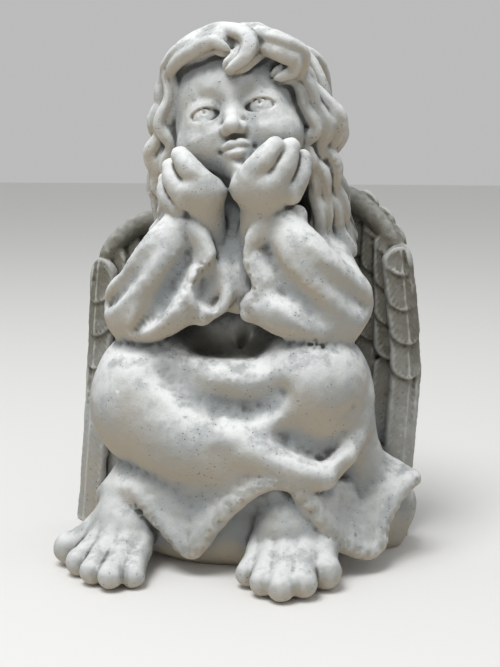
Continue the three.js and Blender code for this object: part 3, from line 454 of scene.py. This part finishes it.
# One lock of hair: thick in its middle, thin at both ends, with strands along it.
def lock(clay, points, radius, wave=0):
    count = len(points)
    points = [[p[0] + (wave if n % 2 else -wave), p[1], p[2]] for n, p in enumerate(points)]
    radii = [radius * (0.5 + 0.5 * math.sin(math.pi * (n + 0.7) / (count + 0.4))) for n in range(count)]
    depth = hair["strandDepth"] * radius
    clay.limb(points, radii, hair["blend"], strands=hair["strands"], depth=depth, twist=hair["twist"])


# The hair's mass, with the face left free. The head is set into it afterwards.
def hairMass(clay):
    at = headBench.at
    clay.ball(at(-1, 8, 11), [43, 44, 46], 4, bench=headBench)
    clay.ball([0, 26, 226], [46, 26, 46], 12)
    clay.limb([[0, 26, 240], [0, 34, 190]], [36, 30], 10)
    clay.limb([[-42, -2, 262], [-44, 2, 236], [-42, 8, 208]], [12, 13, 12], 8)
    clay.limb([[40, -2, 262], [38, 2, 236], [46, 8, 206]], [12, 11, 12], 8)
    clay.ball(at(-1, -58, -12), [36, 34, 52], 4, bench=headBench, cut=True)


# The fringe curls over the brow.
def fringe(clay):
    edge = [[-41, -14, 276], [-37, -20, 288], [-22, -26, 297], [0, -28, 300], [18, -26, 298], [32, -21, 287]]
    clay.limb(edge + [[38, -15, 270]], [7, 8, 9, 9, 9, 8, 7], 5)
    lock(clay, [[-40, -24, 285], [-32, -32, 291], [-21, -37, 296], [-11, -39, 299], [-5, -40, 296]], 8)
    swept = [[-42, -12, 276], [-38, -17, 286], [-26, -23, 297], [-11, -27, 303]]
    lock(clay, swept + [[3, -33, 301], [9, -39, 296], [7, -43, 290], [1, -44, 286]], 9.5)
    lock(clay, [[-20, 4, 298], [-4, -4, 303], [9, -16, 302], [13, -30, 299], [11, -38, 294]], 9.5)
    curl = [[12, -24, 304], [18, -35, 300], [27, -38, 296]]
    lock(clay, curl + [[35, -34, 291], [33, -32, 284], [27, -34, 281]], 8.5)


# Long wavy locks fall to the shoulders. On each side they go from the outline inwards, and from above down.
def sideLocks(clay):
    wave = hair["wave"]
    rightCrown = [[2, -2, 302], [14, -8, 298], [25, -12, 289], [32, -14, 279], [37, -10, 269], [41, -4, 256]]
    lock(clay, rightCrown, 10.3, wave)
    rightTemple = [[30, -16, 280], [37, -14, 271], [47, -12, 263], [50, -11, 254], [48, -11, 244]]
    lock(clay, rightTemple + [[42, -10, 235], [41, -6, 225]], 10.8, wave)
    rightCheek = [[31, -27, 286], [37, -25, 275], [43, -22, 264], [44, -20, 252], [40, -20, 243]]
    lock(clay, rightCheek + [[39, -20, 233], [44, -16, 223]], 8.1, wave)
    rightNeck = [[42, -13, 242], [49, -9, 231], [50, -6, 218], [52, -2, 206], [57, 2, 193], [60, 5, 181]]
    lock(clay, rightNeck, 9.7, wave)
    lock(clay, [[38, -20, 236], [44, -17, 225], [48, -14, 213], [46, -15, 202], [49, -14, 190]], 7.6, wave)
    rightBack = [[50, 2, 264], [52, 4, 249], [43, 6, 233], [50, 9, 217], [57, 12, 201], [60, 14, 188]]
    lock(clay, rightBack, 9.2, wave)
    leftCrown = [[-25, -6, 295], [-34, -12, 286], [-40, -13, 275], [-45, -12, 264], [-47, -12, 255]]
    lock(clay, leftCrown + [[-44, -13, 246], [-39, -14, 240]], 9.7, wave)
    leftTemple = [[-43, -16, 262], [-45, -15, 248], [-49, -12, 237], [-51, -11, 227], [-48, -11, 216]]
    lock(clay, leftTemple + [[-42, -12, 210]], 9.7, wave)
    leftCheek = [[-38, -24, 282], [-40, -24, 268], [-42, -23, 254], [-40, -22, 242], [-42, -20, 229]]
    lock(clay, leftCheek + [[-41, -19, 217], [-44, -17, 203]], 7.0, wave)
    leftNeck = [[-49, -4, 238], [-46, -12, 226], [-41, -16, 214], [-42, -16, 202], [-49, -12, 191]]
    lock(clay, leftNeck, 8.1, wave)
    leftBack = [[-44, 4, 264], [-51, 6, 250], [-49, 6, 236], [-53, 6, 222], [-50, 8, 208], [-54, 10, 194]]
    lock(clay, leftBack, 9.7, wave)


# Plainer waves down the sides and the back of the head.
def backLocks(clay):
    for side in (-1, 1):
        for n, y in enumerate((12, 23, 34)):
            x = side * 43 * math.sqrt(1 - ((y - 6) / 46) ** 2)
            sway = 2 if n % 2 else -2
            upper = [[x * 0.45, y * 0.6, 300], [x * 0.8, y - 2, 290], [x * 0.98, y + sway, 270]]
            lower = [[x, y + 2 - sway, 250], [x * 1.02, y + 4 + sway, 230], [x * 1.04, y + 5 - sway, 208]]
            lock(clay, upper + lower, 9)
    for n in range(-3, 4):
        x = n * 13
        sway = 4 if n % 2 else -4
        crown = [[x * 0.3, 2, 301], [x * 0.8 + sway, 28, 291], [x, 43, 266]]
        lock(clay, crown + [[x + sway, 47, 242], [x - sway, 49, 220], [x * 0.9 + sway, 50, 196]], 9.5)


# Each wing folds down the back from its shoulder to the ground, and curves forward at its outer edge.
wings = [
    {
        "side": -1,
        "top": [
            [-16, 54, 172], [-34, 52, 186], [-55, 44, 194],
            [-75, 34, 191], [-89, 27, 179], [-96, 24, 164],
        ],
        "edge": [[-99, 22, 144], [-98, 22, 110], [-99, 22, 80], [-103, 22, 40], [-107, 22, 4]],
    },
    {
        "side": 1,
        "top": [
            [16, 54, 182], [34, 50, 199], [54, 42, 209],
            [70, 34, 202], [83, 28, 189], [92, 26, 174],
        ],
        "edge": [[96, 24, 150], [98, 24, 120], [97, 24, 95], [94, 24, 60], [91, 24, 4]],
    },
]
wingForm = {
    # half the distance between the wings, where they lie there, and how far their outer edges curve forward
    "spine": 16,
    "behind": 56,
    "forward": 33,
    "curve": 1.7,
    "span": 84,
    # the outer edge is thinner on each face by the second measure
    "thickness": 14,
    "thinner": 2.5,
    "strips": 7,
}
feathers = {
    "thickness": 5,
    "lift": 3.4,
    "relief": 0.42,
    "width": 20,
    "length": 36,
    # how far the columns of feathers lie inside the wing's outer edge, and how far apart their tips are
    "columns": (-1, 11, 23, 36, 50, 64),
    "apart": 21,
    "lowest": 100,
    # where the long feathers' tips are, below the ground before it is cut flat, and how long they are
    "longest": (-8, 112),
}


def onCurve(points, share):
    places = spline(points, 20)
    return places[min(len(places) - 1, max(0, round(share * (len(places) - 1))))]


def halfWing(across):
    return wingForm["thickness"] / 2 - wingForm["thinner"] * across**2


# Short feathers like shingles above, long ones below. The back has the same rows, flatter.
def featherRows(clay, side, onWing):
    for facing in (-1, 1):
        lift = feathers["lift"] * (1 if facing < 0 else 0.5)
        for column, inset in enumerate(feathers["columns"]):
            across = 1 - inset / wingForm["span"]
            height = onWing(across, 0)[2]
            out = [side * 0.6 * across**3, facing, 0]
            tips = [feathers["longest"]]
            low = feathers["lowest"] + (column % 2) * feathers["apart"] / 2
            while low < height - 4:
                tips.append((low, feathers["length"]))
                low += feathers["apart"]
            for tipZ, length in tips:
                tip = onWing(across, 1 - tipZ / height)
                root = onWing(across, max(0.02, 1 - (tipZ + length) / height))
                tip[1] += facing * (halfWing(across) + lift)
                root[1] += facing * halfWing(across)
                clay.feather(root, tip, feathers["width"], feathers["thickness"], out, 1, feathers["relief"])


def foldedWings(clay):
    for wing in wings:
        spine = wing["side"] * wingForm["spine"]

        # `across` runs from the spine to the wing's outer edge, `down` from the shoulder to the ground.
        def onWing(across, down):
            start, outer = onCurve(wing["top"], across), onCurve(wing["edge"], down)
            x = spine + (outer[0] - spine) * across
            y = wingForm["behind"] - wingForm["forward"] * across ** wingForm["curve"] - 4 * down
            return [start[0] + (x - start[0]) * min(1, 3 * down), y, start[2] * (1 - down)]

        clay.limb(wing["top"], [7, 8, 8, 7, 6, 5], 5)
        for across in np.linspace(0, 1, wingForm["strips"]):
            strip = [onWing(across, down) for down in (0.02, 0.2, 0.45, 0.75, 1.04)]
            clay.limb(strip, halfWing(across), 5)
        featherRows(clay, wing["side"], onWing)
    # The wings' roots and the robe's back are one with the body.
    clay.limb([[0, 46, 180], [0, 50, 110], [0, 50, 6]], [20, 24, 24], 12)
    for side in (-1, 1):
        clay.limb([[side * 28, 38, 168], [side * 34, 38, 100], [side * 40, 36, 6]], 20, 12)


# Weather has crumbled the rims of the sleeves and the hem: along these lines the stone is worn back.
# Bumps have a size, a height and a seed.
crumbled = {
    "reach": 5,
    "bumps": [(3.4, 1.3, 7), (1.9, 0.9, 8)],
    "lines": [
        [[-10, -63, 176], [-17, -66, 168], [-22, -68, 160], [-20, -68, 152], [-12, -66, 145], [-3, -63, 148]],
        [[11, -57, 186], [13, -60, 175], [18, -64, 167], [18, -65, 158], [11, -63, 150]],
        [[24, -66, 141], [40, -68, 136], [54, -62, 132]],
        [[-62, -62, 42], [-42, -74, 31], [-18, -82, 13], [6, -83, 42], [29, -84, 60], [52, -78, 42]],
        [[62, -73, 26], [84, -56, 10], [92, -42, 26], [106, -22, 46]],
    ],
}


# How near each place is to a crumbled line: 1 on it, 0 from `reach` on.
def nearCrumbled(facts, x, y, z):
    share = np.zeros_like(x)
    for line in facts["lines"]:
        for px, py, pz in spline(line, 4):
            away = (x - px) ** 2 + (y - py) ** 2 + (z - pz) ** 2
            share = np.maximum(share, 1 - away / facts["reach"] ** 2)
    return share


def carve(facts):
    corners = zip(facts["spaceLow"], facts["spaceHigh"])
    axes = [np.arange(low, high, facts["spacing"], dtype=np.float32) for low, high in corners]
    clay = Clay(axes, facts["spacing"], facts["farAway"])
    body = (torso, legs, robe, foldedWings)
    upper = (hairMass, head, fringe, sideLocks, backLocks)
    for build in body + upper + (arms, hands, feet):
        build(clay)
        report(build.__name__)
    # The underside is flat on the ground.
    clay.field = np.maximum(clay.field, -clay.axes[2])
    return clay


# Smooth bumps between -1 and 1, the same on every run.
def lumps(x, y, z, size, seed):
    lattice = np.random.default_rng(seed).uniform(-1, 1, (32, 32, 32)).astype(np.float32)
    cells = [np.floor(v / size).astype(np.int32) for v in (x, y, z)]
    shares = [v / size - c for v, c in zip((x, y, z), cells)]
    eased = [s * s * (3 - 2 * s) for s in shares]
    total = 0
    for corner in range(8):
        offset = [corner & 1, corner >> 1 & 1, corner >> 2]
        weight = 1
        for s, o in zip(eased, offset):
            weight = weight * (s if o else 1 - s)
        i, j, k = [(c + o) % 32 for c, o in zip(cells, offset)]
        total = total + weight * lattice[i, j, k]
    return total


# Only clay within `skinDepth` of the surface changes, and less and less below `smoothFoot` over the ground.
roughness = {"bumps": [(19, 0.5, 3), (6, 0.24, 4), (2.8, 0.2, 5)], "skinDepth": 2.5, "smoothFoot": 3}


# The casting's surface is never quite even.
def roughen(clay, facts):
    near = np.nonzero(np.abs(clay.field) < facts["skinDepth"])
    x, y, z = [axis[n] for axis, n in zip(clay.axes, near)]
    change = sum(amount * lumps(x, y, z, size, seed) for size, amount, seed in facts["bumps"])
    wearAndHighlight = sum(amount * np.abs(lumps(x, y, z, size, seed)) for size, amount, seed in crumbled["bumps"])
    change = change + wearAndHighlight * nearCrumbled(crumbled, x, y, z)
    clay.field[near] += (change * np.clip(z / facts["smoothFoot"], 0, 1)).astype(np.float32)


def skin(clay):
    grid = openvdb.FloatGrid(clay.farAway)
    grid.copyFromArray(clay.field)
    points, quads = grid.convertToQuads(0.0)
    points = points * clay.spacing + clay.low
    return points, quads


def meshOf(name, points, faces):
    mesh = bpy.data.meshes.new(name)
    corners = faces.shape[1]
    mesh.vertices.add(len(points))
    mesh.vertices.foreach_set("co", np.ascontiguousarray(points, np.float32).ravel())
    mesh.loops.add(faces.size)
    mesh.loops.foreach_set("vertex_index", np.ascontiguousarray(faces, np.int32).ravel())
    mesh.polygons.add(len(faces))
    mesh.polygons.foreach_set("loop_start", np.arange(0, faces.size, corners, dtype=np.int32))
    mesh.update(calc_edges=True)
    return mesh


def thinned(mesh, triangles):
    current = len(mesh.polygons) * 2
    if current <= triangles:
        return mesh
    thick = bpy.data.objects.new("thick", mesh)
    bpy.context.scene.collection.objects.link(thick)
    decimate = thick.modifiers.new("thin", "DECIMATE")
    decimate.ratio = triangles / current
    bpy.context.view_layer.update()
    result = bpy.data.meshes.new_from_object(thick.evaluated_get(bpy.context.evaluated_depsgraph_get()))
    bpy.data.objects.remove(thick)
    return result


# The mean of each value and `half` values on both sides of it, along one axis.
def blurred(values, axis, half):
    width, count = 2 * half + 1, values.shape[axis]
    before = np.zeros_like(np.take(values, [0] * (half + 1), axis))
    after = np.zeros_like(np.take(values, [0] * half, axis))
    run = np.cumsum(np.concatenate([before, values, after], axis), axis, dtype=np.float64)
    ends = np.take(run, range(width, width + count), axis)
    return ((ends - np.take(run, range(count), axis)) / width).astype(np.float32)


# How much stone lies around each point, from a blurred copy of the clay: more in hollows, less on ridges.
def enclosure(clay, points, radius):
    every = max(1, round(radius / 3 / clay.spacing))
    solid = np.clip(0.5 - clay.field[::every, ::every, ::every] / (clay.spacing * every), 0, 1)
    half = max(1, round(radius / (clay.spacing * every) / 1.7))
    for _ in range(3):
        for axis in range(3):
            solid = blurred(solid, axis, half)
    return sample(solid, (points - clay.low) / (clay.spacing * every))


# Values of a grid at places between its points.
def sample(values, places):
    limit = np.array(values.shape) - 2
    base = np.clip(np.floor(places).astype(int), 0, limit)
    share = np.clip(places - base, 0, 1)
    total = 0
    for corner in range(8):
        offset = np.array([corner & 1, corner >> 1 & 1, corner >> 2])
        weight = np.prod(np.where(offset, share, 1 - share), axis=1)
        i, j, k = (base + offset).T
        total = total + weight * values[i, j, k]
    return total


# 0 up to `low`, 1 from `high` on, and a smooth step between. `low` may be the greater one.
def eased(values, low, high):
    share = np.clip((values - low) / (high - low), 0, 1)
    return share * share * (3 - 2 * share)


# 1 on the wings and the back, 0 on the figure's front.
def onWings(places):
    x, y, z = np.abs(places[:, 0]), places[:, 1], places[:, 2]
    wingAndBack = np.maximum(eased(y, 2, 14) * eased(x, 50, 62), eased(y, 34, 46))
    return wingAndBack * eased(z, 232, 214) * (0.1 + 0.9 * eased(z, 60, 130))


def addAttribute(mesh, name, values):
    attribute = mesh.attributes.new(name, "FLOAT", "POINT")
    attribute.data.foreach_set("value", np.ascontiguousarray(values, np.float32))


def readVertices(mesh, name):
    values = np.empty(len(mesh.vertices) * 3)
    mesh.vertices.foreach_get(name, values)
    return values.reshape(-1, 3)


def makePutto():
    clay = carve(figure)
    roughen(clay, roughness)
    report("roughened")
    points, quads = skin(clay)
    report(f"skin of {len(quads)} quads")
    mesh = thinned(meshOf("putto", points, quads), figure["triangles"])
    report(f"thinned to {len(mesh.polygons)}")
    places, normals = readVertices(mesh, "co"), readVertices(mesh, "normal")
    for name, radius in figure["hollows"].items():
        addAttribute(mesh, name, enclosure(clay, places, radius))
    addAttribute(mesh, "upward", normals[:, 2])
    addAttribute(mesh, "wing", onWings(places))
    addAttribute(mesh, "low", eased(places[:, 2], *figure["darkerBelow"]))
    report("attributes")
    places[:, 2] = np.where(places[:, 2] < figure["grounded"], 0, places[:, 2])
    mesh.vertices.foreach_set("co", (places * metresPerUnit).ravel())
    mesh.shade_smooth()
    mesh.update()
    putto = bpy.data.objects.new("puttoCarving", mesh)
    bpy.context.scene.collection.objects.link(putto)
    return putto


putto = makePutto()


# Shader maths read as plain sums: a value wraps a socket.
class Value:
    def __init__(self, shader, socket):
        self.shader, self.socket = shader, socket

    def _with(self, operation, other, swapped=False):
        pair = (other, self) if swapped else (self, other)
        return self.shader.value("ShaderNodeMath", {"operation": operation}, dict(enumerate(pair)))

    def __add__(self, other):
        return self._with("ADD", other)

    def __radd__(self, other):
        return self._with("ADD", other, True)

    def __sub__(self, other):
        return self._with("SUBTRACT", other)

    def __rsub__(self, other):
        return self._with("SUBTRACT", other, True)

    def __mul__(self, other):
        return self._with("MULTIPLY", other)

    def __rmul__(self, other):
        return self._with("MULTIPLY", other, True)

    def ramp(self, low, high):
        inputs = {"Value": self, "From Min": low, "From Max": high}
        return self.shader.value("ShaderNodeMapRange", {"interpolation_type": "SMOOTHSTEP"}, inputs)


class Shader:
    def __init__(self, name):
        self.material = bpy.data.materials.new(name)
        self.material.use_nodes = True
        self.tree = self.material.node_tree
        self.tree.nodes.clear()

    def node(self, kind, settings, inputs):
        node = self.tree.nodes.new(kind)
        for key, setting in settings.items():
            setattr(node, key, setting)
        for key, given in inputs.items():
            if isinstance(given, Value):
                self.tree.links.new(given.socket, node.inputs[key])
            else:
                node.inputs[key].default_value = given
        return node

    def value(self, kind, settings, inputs, output=0):
        return Value(self, self.node(kind, settings, inputs).outputs[output])

    def attribute(self, name):
        return self.value("ShaderNodeAttribute", {"attribute_name": name}, {}, "Fac")

    def place(self):
        return self.value("ShaderNodeTexCoord", {}, {}, "Object")

    def noise(self, scale, detail, roughness=0.55):
        inputs = {"Vector": self.place(), "Scale": scale, "Detail": detail, "Roughness": roughness}
        return self.value("ShaderNodeTexNoise", {}, inputs, "Fac")

    # Sockets 6 and 7 are the two colours, and output 2 is the mixed one.
    def mixed(self, share, a, b):
        return self.value("ShaderNodeMix", {"data_type": "RGBA"}, {"Factor": share, 6: a, 7: b}, 2)

    def surfaced(self, colour, roughness, others):
        inputs = {"Base Color": colour, "Roughness": roughness} | others
        surface = self.value("ShaderNodeBsdfPrincipled", {}, inputs)
        self.node("ShaderNodeOutputMaterial", {}, {"Surface": surface})
        return self.material


# Colours first, then the scales of the noises, per metre, and the bump's strength and depth in metres.
stone = {
    # The first two colours are one stone as painted in light and as painted in shade.
    "litStone": (0.84, 0.86, 0.855, 1),
    "shadedStone": (0.33, 0.34, 0.325, 1),
    "grey": (0.29, 0.31, 0.315, 1),
    "warm": (0.42, 0.36, 0.275, 1),
    "dark": (0.05, 0.046, 0.036, 1),
    "wing": (0.15, 0.142, 0.11, 1),
    "roughness": 0.93,
    "specular": 0.25,
    "clouds": 26,
    "patches": 80,
    "grain": 900,
    "lumps": 330,
    "pits": 420,
    "bumpStrength": 0.85,
    "bumpDepth": 0.0008,
}


# Painted light from above: faces that point up are lighter, and undersides warmer and darker. Hollows and
# creases get painted shade, ridges a painted highlight, and the wings and the back are darker.
def stoneMaterial(facts):
    shader = Shader("castStone")
    names = ("fine", "broad", "deep", "upward", "wing", "low")
    fine, broad, deep, upward, wing, low = [shader.attribute(name) for name in names]
    cloud = shader.noise(facts["clouds"], 5)
    patches = shader.noise(facts["patches"], 6, 0.62)
    grain = shader.noise(facts["grain"], 3, 0.6)
    # Painted shade: faces that point down turn warmer and darker, broken up by clouds.
    paintedUndersideShade = (upward * -0.55 + cloud * 0.7).ramp(0.12, 0.72)
    # Painted light from above: faces that point up are lighter, varied by the mottle and darker towards the
    # ground.
    paintedTopLight = (upward + patches * 0.9 - 0.45 - low * 0.35).ramp(-0.2, 0.75)
    shade = shader.mixed(paintedTopLight, facts["shadedStone"], facts["litStone"])
    shade = shader.mixed(patches.ramp(0.42, 0.66) * 0.7, shade, facts["grey"])
    shade = shader.mixed(paintedUndersideShade * 0.9, shade, facts["warm"])
    # The wings and the back are darker, and downward faces on them darker still as painted shade.
    shade = shader.mixed(wing * (upward * -0.25 + patches * 0.5 + 0.72), shade, facts["wing"])
    # Painted shade: wide hollows turn grey, and deep hollows and fine creases turn dark.
    shade = shader.mixed((broad + patches * 0.14 - 0.07).ramp(0.485, 0.62) * 0.85, shade, facts["grey"])
    shade = shader.mixed((deep + patches * 0.1 - 0.05).ramp(0.5, 0.7) * 0.9, shade, facts["dark"])
    shade = shader.mixed((fine + grain * 0.08 - 0.04).ramp(0.53, 0.67) * 0.85, shade, facts["dark"])
    # Painted highlight: ridges and edges are lightened, most of all where they face up.
    wearAndHighlight = (0.5 - fine + patches * 0.06 - 0.03).ramp(0.04, 0.14) * (upward * 0.5 + 0.5)
    shade = shader.mixed(wearAndHighlight * 0.55, shade, facts["litStone"])
    cells = {"Vector": shader.place(), "Scale": facts["pits"]}
    pits = shader.value("ShaderNodeTexVoronoi", {}, cells, "Distance")
    pit = (0.17 - pits).ramp(0.0, 0.06) * patches.ramp(0.5, 0.6)
    shade = shader.mixed(pit * 0.7, shade, facts["dark"])
    height = grain * 0.5 + shader.noise(facts["lumps"], 4, 0.6) * 0.8 - pit * 0.8
    relief = {"Height": height, "Strength": facts["bumpStrength"], "Distance": facts["bumpDepth"]}
    bump = shader.value("ShaderNodeBump", {}, relief, "Normal")
    others = {"Specular IOR Level": facts["specular"], "Normal": bump}
    return shader.surfaced(shade, facts["roughness"], others)


putto.data.materials.append(stoneMaterial(stone))
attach(putto, "root")
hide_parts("putto")
report("stone")

studio = {
    "floorColour": (0.82, 0.82, 0.81, 1),
    "floorRoughness": 0.9,
    "floorSize": 12,
    "sky": (1, 1, 1, 1),
    "skyStrength": 0.5,
    "lampPlace": (-0.35, -0.75, 2.0),
    "lampSize": 1.0,
    "lampAim": (0, 0, 0.15),
    "lampPower": 31,
}


def makeStudio(facts):
    half = facts["floorSize"] / 2
    corners = np.array([[-half, -half, 0], [half, -half, 0], [half, half, 0], [-half, half, 0]])
    floor = bpy.data.objects.new("floor", meshOf("floor", corners, np.array([[0, 1, 2, 3]])))
    bpy.context.scene.collection.objects.link(floor)
    floor.data.materials.append(Shader("floor").surfaced(facts["floorColour"], facts["floorRoughness"], {}))
    world = bpy.data.worlds.new("sky")
    world.use_nodes = True
    background = world.node_tree.nodes["Background"]
    background.inputs["Color"].default_value = facts["sky"]
    background.inputs["Strength"].default_value = facts["skyStrength"]
    bpy.context.scene.world = world
    data = bpy.data.lights.new("overhead", "AREA")
    data.size = facts["lampSize"]
    data.energy = facts["lampPower"]
    lamp = bpy.data.objects.new("overhead", data)
    lamp.location = facts["lampPlace"]
    toFigure = Vector(facts["lampAim"]) - lamp.location
    lamp.rotation_euler = toFigure.to_track_quat("-Z", "Y").to_euler()
    bpy.context.scene.collection.objects.link(lamp)
    bpy.context.scene.view_settings.view_transform = "Standard"


makeStudio(studio)
report("studio")
